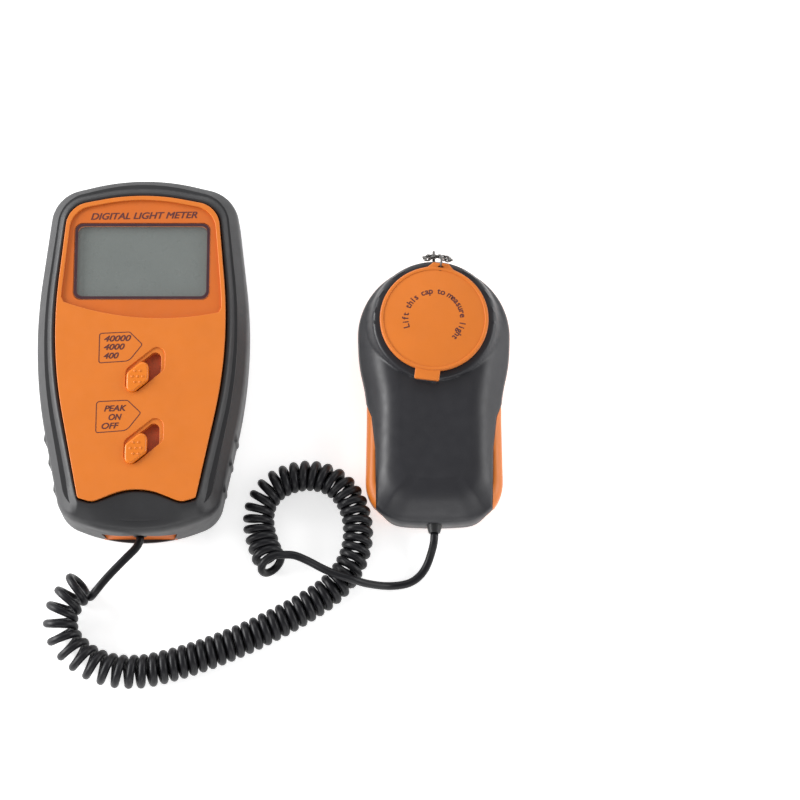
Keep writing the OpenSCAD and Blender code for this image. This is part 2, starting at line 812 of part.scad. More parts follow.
module meter_lead() { color("#17171a") sweep_tube(meter_lead_route, wire_d); }
module cord_coil() { color("#17171a") sweep_tube(coil_route, coil_d, 12); }
module sensor_lead() { color("#17171a") sweep_tube(sensor_lead_route, wire_d); }

rubber_boot();
front_shell();
rear_shell();
display_window();
lcd_panel();
lcd_frame();
zebra_strips();
main_board();
board_components();
range_switch_body();
power_switch_body();
range_knob();
power_knob();
battery();
battery_snap();
battery_leads();
battery_door();
signal_wires();
case_screws();
board_screws();
meter_gland();
sensor_top_shell();
sensor_bottom_shell();
sensor_board();
photodiode();
optical_filter();
filter_holder();
diffuser();
diffuser_ring();
sensor_screws();
sensor_gland();
sensor_wires();
chain_eyelet();
cap_chain();
sensor_cap();
cap_ring();
meter_lead();
cord_coil();
sensor_lead();
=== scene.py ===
"""Looks of a two-piece light meter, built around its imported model.

Shapes are worked out in millimetres and turned into metres where a mesh is made. The hand unit's
shapes are drawn from its own middle, and the sensor's from its own middle.
"""

import math

import bpy
import numpy as np
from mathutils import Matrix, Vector
from mathutils.geometry import tessellate_polygon


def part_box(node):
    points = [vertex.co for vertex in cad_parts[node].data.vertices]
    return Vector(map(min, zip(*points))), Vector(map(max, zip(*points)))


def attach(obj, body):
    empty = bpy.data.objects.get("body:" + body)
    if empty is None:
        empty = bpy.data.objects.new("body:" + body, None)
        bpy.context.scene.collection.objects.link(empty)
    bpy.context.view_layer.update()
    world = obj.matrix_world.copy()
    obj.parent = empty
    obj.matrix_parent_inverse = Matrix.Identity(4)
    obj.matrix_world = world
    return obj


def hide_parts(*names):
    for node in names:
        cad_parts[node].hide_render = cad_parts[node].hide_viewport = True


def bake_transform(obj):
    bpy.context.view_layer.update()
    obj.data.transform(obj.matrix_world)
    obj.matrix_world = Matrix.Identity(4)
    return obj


MM = 0.001
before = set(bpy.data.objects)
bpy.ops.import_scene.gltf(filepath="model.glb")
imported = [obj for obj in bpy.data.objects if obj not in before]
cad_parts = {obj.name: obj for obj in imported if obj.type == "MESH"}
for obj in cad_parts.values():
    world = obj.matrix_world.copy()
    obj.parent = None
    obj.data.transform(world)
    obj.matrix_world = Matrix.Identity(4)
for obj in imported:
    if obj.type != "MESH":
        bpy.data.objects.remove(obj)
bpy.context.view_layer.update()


# ---- Places read from the frame ----


def box_mm(node):
    low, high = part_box(node)
    return np.array(low) / MM, np.array(high) / MM


def middle_mm(node):
    low, high = box_mm(node)
    return (low + high) / 2


# The outlines are drawn about points a little off the middles of their boxes.
FACE_SHIFT = 0.5
SENSOR_SHIFT = 1.1
boot_low, boot_high = box_mm("rubber_boot")
METER = np.array([(boot_low[0] + boot_high[0]) / 2, (boot_low[1] + boot_high[1]) / 2 + FACE_SHIFT])
METER_HALF = (boot_high - boot_low)[:2] / 2
BOOT_TOP = boot_high[2]
FACE_TOP = box_mm("front_shell")[1][2]
sensor_low, sensor_high = box_mm("sensor_bottom_shell")
SENSOR = np.array([(sensor_low[0] + sensor_high[0]) / 2, (sensor_low[1] + sensor_high[1]) / 2 - SENSOR_SHIFT])
SENSOR_HALF = (sensor_high - sensor_low)[:2] / 2
CAP = middle_mm("diffuser")[:2] - SENSOR
CAP_TOP = box_mm("sensor_cap")[1][2]
CAP_LOW = CAP_TOP - 1.5
WINDOW_LOW, WINDOW_HIGH = box_mm("display_window")


# ---- Camera ----

VIEW_TILT = math.radians(15)
VIEW_DISTANCE = 0.99
view_centre = Vector((0.04197, -0.01033, 0))
view_back = Vector((0, -math.sin(VIEW_TILT), math.cos(VIEW_TILT)))

camera = bpy.data.objects.new("camera", bpy.data.cameras.new("camera"))
bpy.context.scene.collection.objects.link(camera)
camera.data.lens = 132
camera.data.sensor_width = 36
camera.location = view_centre + view_back * VIEW_DISTANCE
camera.rotation_mode = "QUATERNION"
camera.rotation_quaternion = (-view_back).to_track_quat("-Z", "Y")
bpy.context.scene.camera = camera


# ---- Outlines ----


def step_between(value, low, high):
    t = np.clip((value - low) / (high - low), 0, 1)
    return t * t * (3 - 2 * t)


def unit(v):
    v = np.asarray(v, float)
    return v / np.linalg.norm(v, axis=-1, keepdims=True)


def corner_arc(before, corner, after, radius, steps):
    """Points of the arc that rounds a corner between its neighbours."""
    u, v = unit(before - corner), unit(after - corner)
    half_angle = math.acos(float(np.clip(u @ v, -1, 1))) / 2
    centre = corner + unit(u + v) * radius / math.sin(half_angle)
    first = corner + u * radius / math.tan(half_angle) - centre
    last = corner + v * radius / math.tan(half_angle) - centre
    start = math.atan2(first[1], first[0])
    sweep = (math.atan2(last[1], last[0]) - start + 3 * math.pi) % (2 * math.pi) - math.pi
    turns = start + sweep * np.linspace(0, 1, steps + 1)
    return centre + radius * np.stack([np.cos(turns), np.sin(turns)], 1)


def outline(corners, steps=24):
    """Closed outline through rounded corners [x, y, radius]."""
    c = np.array(corners, float)
    n = len(c)
    arcs = [corner_arc(c[i - 1, :2], c[i, :2], c[(i + 1) % n, :2], c[i, 2], steps) for i in range(n)]
    return np.concatenate(arcs)


def both_sides(right):
    """Corners of a mirrored outline from those of its right side."""
    left = [[-x, y, r] for x, y, r in reversed(right) if x > 0]
    return right + left


def fit(points, half):
    """Points centred and stretched to fill a box of these half sides."""
    low, high = points.min(0), points.max(0)
    return (points - (low + high) / 2) * 2 * half / (high - low)


def inset(points, by, half):
    """Points drawn in by a distance, on a shape of these half sides."""
    return points * (1 - np.asarray(by) / half)


def rectangle(width, length, radius, centre=(0, 0)):
    x, y = width / 2, length / 2
    corners = [[x, y, radius], [x, -y, radius], [-x, -y, radius], [-x, y, radius]]
    return outline(corners, 10) + np.array(centre)


def circle(radius, centre=(0, 0), count=96):
    turns = np.linspace(0, 2 * math.pi, count, endpoint=False)
    return np.array(centre) + radius * np.stack([np.cos(turns), np.sin(turns)], 1)


def turned(points, degrees):
    a = math.radians(degrees)
    return np.asarray(points) @ np.array([[math.cos(a), math.sin(a)], [-math.sin(a), math.cos(a)]])


def clockwise(points):
    x, y = points[:, 0], points[:, 1]
    return (x * np.roll(y, -1) - y * np.roll(x, -1)).sum() < 0


def along(points, count):
    """Points at even steps along an open line."""
    points = np.asarray(points, float)
    reach = np.concatenate([[0], np.cumsum(np.linalg.norm(np.diff(points, axis=0), axis=1))])
    at = np.linspace(0, reach[-1], count)
    return np.stack([np.interp(at, reach, points[:, k]) for k in range(points.shape[1])], 1)


def right_side(points):
    """The right half of a mirrored outline, from its top middle to its bottom middle."""
    points = points if clockwise(points) else points[::-1]
    points = np.roll(points, -int(np.argmax(points[:, 1] - 1000 * (points[:, 0] < 0))), 0)
    half = points[: int(np.argmax(points[:, 0] < 0))]
    return np.concatenate([[[0, half[0, 1]]], half, [[0, half[-1, 1]]]])


def matched(points, stops, counts):
    """A mirrored outline cut at stops, places near its right side, with counts points in each part."""
    half = right_side(points)
    cuts = [0] + [int(np.argmin(np.linalg.norm(half - np.array(s), axis=1))) for s in stops] + [len(half) - 1]
    parts = [along(half[a : b + 1], n + 1)[:-1] for a, b, n in zip(cuts, cuts[1:], counts)]
    right = np.concatenate(parts + [half[-1:]])
    left = right[-2:0:-1] * [-1, 1]
    return np.concatenate([right, left])


boot_corners = [[0, 62.5, 70], [30.4, 55.2, 12], [37.1, -0.6, 165], [25.8, -55.4, 10.4], [0, -65.3, 52.8]]
face_corners = [
    [0, 54.1, 70], [25.2, 49.2, 8.5], [29.9, 0, 160], [19.4, -51.2, 1.2], [14.6, -52.6, 5], [0, -46.6, 22],
]
sensor_corners = [[26.6, 46.1, 25], [25.3, 10.7, 55], [22.4, -1.7, 56], [23.1, -42.6, 14.3], [0, -44.2, 125]]
boot_outline = fit(outline(both_sides(boot_corners)), METER_HALF) - [0, FACE_SHIFT]
face_outline = inset(outline(both_sides(face_corners)), 0.35, METER_HALF)
sensor_outline = fit(outline(both_sides(sensor_corners)), SENSOR_HALF) + [0, SENSOR_SHIFT]


# ---- Meshes ----


def add_mesh(name, points, faces, material, centre=(0, 0), smooth=True):
    """Mesh object from millimetre points drawn about a centre."""
    moved = np.asarray(points, float) + [centre[0], centre[1], 0]
    mesh = bpy.data.meshes.new(name)
    mesh.from_pydata((moved * MM).tolist(), [], [list(map(int, f)) for f in faces])
    mesh.validate()
    smooth_flags = smooth if isinstance(smooth, list) else [smooth] * len(mesh.polygons)
    mesh.polygons.foreach_set("use_smooth", smooth_flags[: len(mesh.polygons)])
    mesh.update()
    piece = bpy.data.objects.new(name, mesh)
    piece.data.materials.append(material)
    bpy.context.scene.collection.objects.link(piece)
    return piece


def ring_faces(rings, count, closed=False):
    """Quads between neighbouring rings of count points each."""
    faces = []
    for k in range(rings if closed else rings - 1):
        a, b = k * count, (k + 1) % rings * count
        faces += [(a + i, a + (i + 1) % count, b + (i + 1) % count, b + i) for i in range(count)]
    return faces


def filled(rings, closing):
    """Rings joined by quads, the last one closed by a fan to a point."""
    count = len(rings[0])
    last = (len(rings) - 1) * count
    faces = ring_faces(len(rings), count)
    faces += [(last + i, last + (i + 1) % count, last + count) for i in range(count)]
    return np.concatenate([*rings, [closing]]), faces, [True] * len(faces)


def offset_loop(points, distance):
    """A closed loop moved to the left of its own direction."""
    before, after = unit(points - np.roll(points, 1, 0)), unit(np.roll(points, -1, 0) - points)
    normals = unit(np.stack([-(before + after)[:, 1], (before + after)[:, 0]], 1))
    stretch = 1 / np.clip((normals * np.stack([-before[:, 1], before[:, 0]], 1)).sum(1), 0.6, 1)
    return points + normals * distance * stretch[:, None]


def without_repeats(points):
    return points[np.linalg.norm(points - np.roll(points, 1, 0), axis=1) > 1e-4]


def cap_faces(loops, starts, upward):
    """Triangles that fill flat loops, the first the outer one and the others holes."""
    flat = [[Vector((x, y, 0)) for x, y in loop] for loop in loops]
    order = np.concatenate([np.arange(len(loop)) + start for loop, start in zip(loops, starts)])
    every = np.concatenate(loops)
    faces = []
    for a, b, c in tessellate_polygon(flat):
        area = np.cross(every[b] - every[a], every[c] - every[a])
        if abs(area) > 1e-9:
            b, c = (b, c) if (area > 0) == upward else (c, b)
            faces.append((order[a], order[b], order[c]))
    return faces


def slab_parts(outer, holes, low, high, bevel, steps=4, bottom_bevel=0.0):
    """Points, faces and smooth flags of a flat-topped solid with rounded upper edges."""
    loops = [without_repeats(np.asarray(p, float)) for p in [outer, *holes]]
    loops = [p[::-1] if clockwise(p) != (k > 0) else p for k, p in enumerate(loops)]
    profile = [(bottom_bevel, low)] + ([(0, low + bottom_bevel)] if bottom_bevel else [])
    turns = np.linspace(0, math.pi / 2, steps + 1) if bevel else [0]
    profile += [(bevel * (1 - math.cos(a)), high - bevel + bevel * math.sin(a)) for a in turns]
    points, faces, flags, bottoms, tops, bottom_loops, top_loops = [], [], [], [], [], [], []
    total = 0
    for loop in loops:
        rings = [offset_loop(loop, by) for by, _ in profile]
        for (_, z), ring in zip(profile, rings):
            points.append(np.column_stack([ring, np.full(len(ring), z)]))
        sides = ring_faces(len(profile), len(loop))
        faces += [tuple(total + v for v in f) for f in sides]
        flags += [True] * len(sides)
        bottoms.append(total)
        bottom_loops.append(rings[0])
        tops.append(total + (len(profile) - 1) * len(loop))
        top_loops.append(rings[-1])
        total += len(profile) * len(loop)
    for kept_loops, starts, upward in ((top_loops, tops, True), (bottom_loops, bottoms, False)):
        lids = cap_faces(kept_loops, starts, upward)
        faces += lids
        flags += [False] * len(lids)
    return np.concatenate(points), faces, flags


def join_parts(*parts):
    """Points, faces and smooth flags of several parts as one."""
    points, faces, flags, total = [], [], [], 0
    for p, f, s in parts:
        points.append(p)
        faces += [tuple(total + v for v in face) for face in f]
        flags += s
        total += len(p)
    return np.concatenate(points), faces, flags


def slab(name, outer, low, high, material, holes=(), bevel=0.2, centre=(0, 0)):
    points, faces, flags = slab_parts(outer, holes, low, high, bevel)
    return add_mesh(name, points, faces, material, centre, flags)


def smooth_line(route):
    """Catmull-Rom line through the points of a route, ten steps to each."""
    p = np.array(route, float)
    p = np.concatenate([[2 * p[0] - p[1]], p, [2 * p[-1] - p[-2]]])
    t = np.linspace(0, 1, 10, endpoint=False)[:, None]
    parts = []
    for a, b, c, d in zip(p, p[1:], p[2:], p[3:]):
        square, cube = 2 * a - 5 * b + 4 * c - d, 3 * b - a - 3 * c + d
        parts.append(b + (c - a) * t / 2 + square * t**2 / 2 + cube * t**3 / 2)
    return np.concatenate(parts + [p[-2:-1]])


def tube_parts(line, radius, sides=12, closed=False):
    """Points, faces and flags of a round tube along a line, its rings carried along without twist."""
    line = np.asarray(line, float)
    if closed:
        ahead = unit(np.roll(line, -1, 0) - np.roll(line, 1, 0))
    else:
        ahead = unit(np.gradient(line, axis=0))
    side = unit(np.cross(ahead[0], [0.3, 0.2, 1]))
    turns = np.linspace(0, 2 * math.pi, sides, endpoint=False)
    radii = np.broadcast_to(radius, len(line))
    rings = []
    for at, way, r in zip(line, ahead, radii):
        side = unit(side - way * (side @ way))
        up = np.cross(way, side)
        rings.append(at + r * (np.cos(turns)[:, None] * side + np.sin(turns)[:, None] * up))
    faces = ring_faces(len(line), sides, closed)
    flags = [True] * len(faces)
    if not closed:
        last = (len(line) - 1) * sides
        faces += [tuple(range(sides))[::-1], tuple(range(last, last + sides))]
        flags += [False, False]
    return np.concatenate(rings), faces, flags


def extruded(name, points, low, high, centre, across=False):
    """Plain prism for cutting: along Z, or along Y with the points as x and z."""
    points, faces, flags = slab_parts(points, (), low, high, 0)
    if across:
        points = points[:, [0, 2, 1]]
        faces = [face[::-1] for face in faces]
    return add_mesh(name, points, faces, RUBBER, centre, flags)


def cut(piece, cutter):
    """Takes the cutter's solid out of the piece."""
    modifier = piece.modifiers.new("cut", "BOOLEAN")
    modifier.object = cutter
    modifier.solver = "EXACT"
    depsgraph = bpy.context.evaluated_depsgraph_get()
    shaped = bpy.data.meshes.new_from_object(piece.evaluated_get(depsgraph))
    piece.modifiers.clear()
    piece.data = shaped
    bpy.data.objects.remove(cutter)


def sharp_edges(piece, degrees):
    """Keeps edges crisp where faces meet at more than this angle."""
    piece.data.set_sharp_from_angle(angle=math.radians(degrees))


# ---- Materials ----


def surface(name, colour, roughness, mottle=0.06, grain=0.3, grain_size=0.35, gloss_change=0.06, **sockets):
    """Moulded surface: its colour varies softly, its gloss varies, and a fine grain stands on it."""
    material = bpy.data.materials.new(name)
    material.use_nodes = True
    nodes, links = material.node_tree.nodes, material.node_tree.links
    shader = nodes["Principled BSDF"]
    place = nodes.new("ShaderNodeTexCoord")

    def noise(size_mm, detail):
        node = nodes.new("ShaderNodeTexNoise")
        node.inputs["Scale"].default_value = 1 / (size_mm * MM)
        node.inputs["Detail"].default_value = detail
        links.new(place.outputs["Object"], node.inputs["Vector"])
        return node.outputs["Fac"]

    def spread(value, low, high):
        node = nodes.new("ShaderNodeMapRange")
        node.inputs["From Min"].default_value = 0.25
        node.inputs["From Max"].default_value = 0.75
        node.inputs["To Min"].default_value = low
        node.inputs["To Max"].default_value = high
        links.new(value, node.inputs["Value"])
        return node.outputs["Result"]

    tone = nodes.new("ShaderNodeHueSaturation")
    tone.inputs["Color"].default_value = (*colour, 1)
    links.new(spread(noise(9, 4), 1 - mottle, 1 + mottle), tone.inputs["Value"])
    speck = nodes.new("ShaderNodeHueSaturation")
    links.new(spread(noise(grain_size * 0.8, 2), 1 - mottle / 2, 1 + mottle / 2), speck.inputs["Value"])
    links.new(tone.outputs["Color"], speck.inputs["Color"])
    links.new(speck.outputs["Color"], shader.inputs["Base Color"])
    gloss = spread(noise(3.5, 3), roughness - gloss_change, roughness + gloss_change)
    links.new(gloss, shader.inputs["Roughness"])
    bump = nodes.new("ShaderNodeBump")
    bump.inputs["Strength"].default_value = grain
    bump.inputs["Distance"].default_value = 0.03 * MM
    links.new(noise(grain_size, 3), bump.inputs["Height"])
    links.new(bump.outputs["Normal"], shader.inputs["Normal"])
    if "Emission_Strength" in sockets:
        links.new(speck.outputs["Color"], shader.inputs["Emission Color"])
    for socket, value in sockets.items():
        shader.inputs[socket.replace("_", " ")].default_value = value
    return material


ORANGE = surface("orange_plastic", (0.68, 0.178, 0.018), 0.42, mottle=0.03, grain=0.25, grain_size=0.3)
# darker copy of the orange: painted shade for the display recess floor and the notch face
SHADED_ORANGE = surface("orange_painted_shade", (0.60, 0.132, 0.013), 0.45, mottle=0.03, grain=0.25, grain_size=0.3)
# dark red-brown copy of the orange: painted shade for the deep slot under each knob
SLOT_SHADE_ORANGE = surface("orange_slot_painted_shade", (0.44, 0.070, 0.013), 0.55, mottle=0.08, grain=0.2, grain_size=0.3)
KNOB = surface("knob_plastic", (0.74, 0.190, 0.012), 0.38, mottle=0.03, grain=0.15, grain_size=0.25)
RUBBER = surface(
    "boot_rubber", (0.021, 0.021, 0.023), 0.48, mottle=0.12, grain=0.5, grain_size=0.4, gloss_change=0.05
)
CHARCOAL = surface("sensor_plastic", (0.017, 0.017, 0.021), 0.42, mottle=0.06, grain=0.3, grain_size=0.3)
BLACK = surface("black_plastic", (0.012, 0.012, 0.013), 0.45, mottle=0.08, grain=0.3, grain_size=0.4)
JACKET = surface(
    "cord_jacket", (0.005, 0.005, 0.007), 0.42, mottle=0.10, grain=0.2, grain_size=0.5,
    Specular_IOR_Level=0.32,
)
INK = surface("printed_ink", (0.10, 0.022, 0.022), 0.5, mottle=0.12, grain=0.1, grain_size=0.2)
BORDER = surface("window_border", (0.050, 0.017, 0.024), 0.40, mottle=0.08, grain=0.1, grain_size=0.3)
LCD = surface("display_glass", (0.165, 0.182, 0.174), 0.30, mottle=0.03, grain=0.04, grain_size=1.5)
WINDOW = surface(
    "window_acrylic", (0.30, 0.32, 0.31), 0.12, mottle=0.03, grain=0.03, grain_size=6, Alpha=0.10
)
WHITE = surface("opal_diffuser", (0.86, 0.85, 0.80), 0.5, mottle=0.02, grain=0.1, grain_size=0.4)
CHAIN = surface(
    "blackened_chain", (0.16, 0.155, 0.15), 0.35, mottle=0.2, grain=0.2, grain_size=0.4, Metallic=1.0
)
STEEL = surface(
    "plated_steel", (0.62, 0.62, 0.64), 0.25, mottle=0.08, grain=0.2, grain_size=0.6, Metallic=1.0
)
BOARD = surface("board_green", (0.03, 0.14, 0.05), 0.45, mottle=0.1, grain=0.3, grain_size=0.8)
JACKET_METAL = surface("battery_jacket", (0.25, 0.26, 0.28), 0.35, mottle=0.06, grain=0.1, Metallic=0.8)
RED_WIRE = surface("red_wire", (0.45, 0.02, 0.015), 0.45)
WHITE_WIRE = surface("white_wire", (0.65, 0.62, 0.56), 0.45)
ZEBRA = surface("contact_strip", (0.60, 0.22, 0.32), 0.6)
DIODE = surface("diode_cell", (0.03, 0.05, 0.14), 0.2, grain=0.05)
FILTER = surface("filter_glass", (0.18, 0.40, 0.17), 0.1, grain=0.02, Alpha=0.6)

for node_name, material in {
    "rear_shell": ORANGE, "battery_door": ORANGE, "lcd_panel": LCD, "lcd_frame": BLACK, "zebra_strips": ZEBRA,
    "main_board": BOARD, "board_components": BLACK, "range_switch_body": STEEL, "power_switch_body": STEEL,
    "battery": JACKET_METAL, "battery_snap": BLACK, "battery_leads": RED_WIRE, "signal_wires": WHITE_WIRE,
    "case_screws": STEEL, "board_screws": STEEL, "meter_gland": BLACK, "sensor_board": BOARD,
    "photodiode": DIODE, "optical_filter": FILTER, "filter_holder": BLACK, "diffuser": WHITE,
    "diffuser_ring": BLACK, "sensor_screws": STEEL, "sensor_gland": BLACK, "sensor_wires": WHITE_WIRE,
    "chain_eyelet": CHAIN, "cap_ring": CHAIN,
}.items():
    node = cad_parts[node_name]
    for material_slot in node.material_slots:
        material_slot.material = material
    if not node.material_slots:
        node.data.materials.append(material)


# ---- Cord ----

WIRE_D = 2.7
START_PHASE = math.radians(100)
END_CUT = math.radians(60)
TIGHT_PITCH = 3.2
LOOSE_PITCH = 1.35
END_LEAN = 2.3
METER_EXIT = (METER[0], -59.5, 9.5)
SENSOR_ENTRY = (SENSOR[0], -57.6, 6)
meter_lead_route = [
    METER_EXIT, (METER[0], -61, 9.5), (-44.9, -63.3, 9.5), (-47, -65.4, 9.4), (-50.2, -68.7, 9.3),
    (-53.4, -72.1, 9.2), (-56, -75.2, 9.2), (-58.4, -78.2, 8.9),
]
coil_route = [
    (-61.9, -74.9), (-63.7, -75.8), (-66.6, -79.1), (-69.1, -83.8), (-69.6, -88.7), (-68, -93.3),
    (-65.1, -96.8), (-61.7, -99.6), (-58.2, -101.6), (-54.6, -102.9), (-51, -103.7), (-47.4, -104),
    (-41.3, -103.7), (-34.2, -102.1), (-27.3, -100.1), (-20.4, -97.7), (-13.7, -95), (-7.1, -92.1),
    (-0.6, -88.9), (5.8, -85.5), (12, -81.8), (18, -77.6), (23, -72.5), (26.5, -66.1), (28, -59.1),
    (27.5, -51.9), (24.9, -45.2), (19.9, -40.1), (13, -38), (5.9, -38.8), (-0.5, -42.3), (-4.3, -48.3),
    (-4.8, -55.4), (-3.1, -61.9), (-1.4, -66.1), (0.7, -69.1),
]
sensor_lead_route = [
    (6.6, -65.9, 10.6), (9, -66.7, 10.6), (12.4, -68.4, 11.2), (15.7, -70.4, 12.2), (18.4, -71.8, 12.7),
    (20.7, -72.8, 12.9), (24, -73.8, 12.7), (27.2, -74.5, 11.3), (30.5, -75, 8.4), (35.4, -74.9, 4),
    (38.7, -74.6, 1.7), (42, -74.3, 1.4), (45.3, -73.5, 1.4), (47.9, -71.8, 1.4), (49.9, -69.5, 1.6),
    (51.4, -66.6, 2.4), (52.5, -63.3, 3.9), (53.1, -61.2, 5.4), (SENSOR[0], -59.4, 6), SENSOR_ENTRY,
]


def coil_line():
    """Left-handed helix along the coil's route, its turns wider apart at the start and in bends."""
    step = 0.05
    axis = smooth_line([(x, y, 0) for x, y in coil_route])
    length = np.linalg.norm(np.diff(axis, axis=0), axis=1).sum()
    axis = along(axis, int(length / step) + 1)
    travelled = np.arange(len(axis)) * step
    share = travelled / travelled[-1]
    radius = np.interp(share, [0, 0.2, 0.55, 0.7, 0.9, 1], [4.7, 4.5, 4.1, 3.9, 4.1, 4.3])
    ahead = unit(np.gradient(axis, axis=0))
    bend = np.linalg.norm(np.gradient(ahead, axis=0), axis=1) / step
    width = int(8 / step)
    bend = np.convolve(np.pad(bend, width // 2, mode="edge"), np.ones(width) / width, "same")
    bend = bend[width // 2 : width // 2 + len(axis)]
    loose = LOOSE_PITCH * (1 - step_between(travelled, 26, 66))
    pitch = np.maximum(TIGHT_PITCH + loose, 0.93 * WIRE_D / (1 - np.minimum(bend, 0.1) * radius))
    phase = np.concatenate([[0], np.cumsum(2 * math.pi * step / pitch[1:])])
    turns = math.floor(phase[-1] / (2 * math.pi))
    phase = phase * turns * 2 * math.pi / phase[-1] + START_PHASE
    left = np.cross([0, 0, 1], ahead)
    axis[:, 2] = radius + WIRE_D / 2 + 0.05
    open_end = END_LEAN * step_between(travelled, travelled[-1] - 15, travelled[-1])
    wire = axis + radius[:, None] * (np.cos(phase)[:, None] * [0, 0, 1] + np.sin(phase)[:, None] * left)
    wire -= ahead * (np.cos(phase) * open_end)[:, None]
    return wire[phase <= phase[-1] - END_CUT]


def cord_line():
    """Centre of the whole cord: plain lead, coil and plain lead, with soft joins between them."""
    coil = coil_line()
    first = smooth_line([*meter_lead_route, coil[0], coil[4]])
    last = smooth_line([coil[-5], coil[-1], *sensor_lead_route])
    line = np.concatenate([first[:-1], coil[5:-5], last])
    length = np.linalg.norm(np.diff(line, axis=0), axis=1).sum()
    line = along(line, int(length))
    for _ in range(3):
        line[1:-1] = (line[:-2] + 2 * line[1:-1] + line[2:]) / 4
    return line


cord_points = cord_line()
points, faces, flags = tube_parts(cord_points, WIRE_D / 2)
cord = add_mesh("curly_cord", points, faces, JACKET, smooth=flags)
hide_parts("meter_lead", "cord_coil", "sensor_lead")
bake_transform(cord)


# ---- Hand unit: rubber boot ----

# Rings from the face outwards and down: distance and drop, share of the crease and drop, distance and z.
LIP_PROFILE = ((0.30, 1.6), (0.30, 0.7), (0.42, 0.3), (0.75, 0.06), (1.2, 0.0))
CREASE_PROFILE = ((0.78, 0.3), (0.50, 1.0), (0.22, 2.0))
FOOT_PROFILE = ((0.12, 4.6), (0.5, 3.0), (0.95, 1.8), (1.6, 0.8), (2.3, 0.2), (3.0, 0.0))
GRIP_PLACES = (-28, -36, -45)
GRIP_LENGTH = 3.4
GRIP_RISE = 0.75
BACK_OPENING = np.array([50, 98])
RUBBER_THICK = 2.0
FLANK_START = 1.5
CREASE_Z, CREASE_IN = 19.5, 0.9
WALL_FOOT_Z = 6.0


def boot():
    """Rubber boot: flat lip, flank down to a crease, upright side wall and an open back."""
    counts = (150, 190, 60)
    face = matched(face_outline, [(28, 0), (19.9, -50.9)], counts)
    outer = matched(boot_outline, [(35.2, 0), (20.5, -57.7)], counts)
    back = matched(rectangle(*BACK_OPENING, 6), [(25, 0), (18, -49)], counts)
    way = unit(outer - face)
    count = len(face)
    number = np.minimum(np.arange(count), count - np.arange(count))
    last_side = counts[0] + counts[1]
    end = (number > last_side) + (number == last_side) * 0.5
    corner = step_between(number, counts[0] + 0.80 * counts[1], last_side)
    top = 1 - step_between(number, 20, 120)
    crease_z = CREASE_Z + 4.3 * corner + 1.5 * top
    crease_in = CREASE_IN + 0.5 * corner
    rings = []

    def ring_at(xy, z):
        rings.append(np.column_stack([xy, np.broadcast_to(z, count)]))

    def from_outer(distance, z):
        ring_at(outer - way * np.broadcast_to(distance, count)[:, None], z)

    for distance, drop in LIP_PROFILE:
        ring_at(face + way * distance, BOOT_TOP - drop)
    start = face + way * FLANK_START
    finish = outer - way * crease_in[:, None]
    flank_top = BOOT_TOP - 0.05
    for v in np.linspace(0, 1, 10):
        fall = v**1.15 * (1 - end) + v**1.3 * end
        ring_at(start + (finish - start) * v, flank_top - (flank_top - crease_z) * fall)
    for share, drop in CREASE_PROFILE:
        from_outer(crease_in * share, crease_z - drop)
    wall_rings = len(rings)
    for share in np.linspace(0, 1, 12):
        from_outer(0.05 * (1 - share), (crease_z - 3.2) * (1 - share) + WALL_FOOT_Z * share)
    wall_end = len(rings)
    for distance, z in FOOT_PROFILE:
        from_outer(distance, z)
    inner = outer * (1 - 3.25 / METER_HALF)
    ring_at(inset(back, -0.3, BACK_OPENING / 2), 0.0)
    ring_at(back, 0.3)
    ring_at(back, RUBBER_THICK)
    ring_at(inner, RUBBER_THICK)
    ring_at(inner, BOOT_TOP - 1.75)

    grips = np.zeros(count)
    for place in GRIP_PLACES:
        past = np.clip((place + 1.6 - outer[:, 1]) / GRIP_LENGTH, 0, 1)
        grips += np.sin(math.pi * past**1.5) * GRIP_RISE
    grips *= number < counts[0] + counts[1] * 0.95
    for k in range(wall_rings, wall_end):
        z = rings[k][:, 2]
        share = step_between(z, 5, 7.5) * (1 - step_between(z, 17, 19))
        rings[k][:, :2] += way * (grips * share)[:, None]
    faces = ring_faces(len(rings), count, closed=True)
    return add_mesh("rubber_boot_skin", np.concatenate(rings), faces, RUBBER, METER)


boot_piece = boot()
notch = outline([
    [0, 18.0, 3], [5.5, 15.4, 4], [12.6, 13.0, 0.6], [11.0, 6.2, 0.6], [-11.0, 6.2, 0.6], [-12.6, 13.0, 0.6],
    [-5.5, 15.4, 4],
], 8)
cut(boot_piece, extruded("notch_cutter", notch, -64, -55.5, METER, across=True))
# the notch face takes the darker orange copy, painted shade
notch_side = np.array([[-56, 5.2], [-60.3, 5.2], [-60.3, 6.4], [-57.2, 18.0], [-56, 18.0]])
points, faces, flags = slab_parts(notch_side, (), -12, 12, 0)
notch_face = add_mesh("notch_face", points[:, [2, 0, 1]], faces, SHADED_ORANGE, METER, flags)
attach(notch_face, "meter")
door_width = box_mm("battery_door")[1][0] - box_mm("battery_door")[0][0] + 1.0
cut(boot_piece, extruded("door_cutter", rectangle(door_width, 30, 0.5, (0, -59)), -1, 2.2, METER))
sharp_edges(boot_piece, 50)
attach(boot_piece, "meter")
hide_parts("rubber_boot")


# ---- Hand unit: orange front ----

SLOT = np.array([1.35, -8.95])
SLOT_PITCH = 24.2
SLANT = math.radians(40)
TRAVEL = 4.8
KNOB_W, KNOB_SIDE, KNOB_R = 7.2, 8.4, 1.9
BUMP_RISE = 0.25
RECESS_FLOOR = FACE_TOP - 0.9
SEAT_LOW = 24.5
SKIRT_LOW, SKIRT_HIGH = 14, 21
FLANGE_TOP = FACE_TOP - 2.4


def lozenge(width, side, radius, centre):
    """Slanted four-sided outline with upright left and right sides."""
    rise = width / 2 * math.tan(SLANT)
    x, y = width / 2, side / 2
    corners = [[x, y + rise, radius], [x, rise - y, radius], [-x, -y - rise, radius], [-x, y - rise, radius]]
    return outline(corners, 12) + np.array(centre)


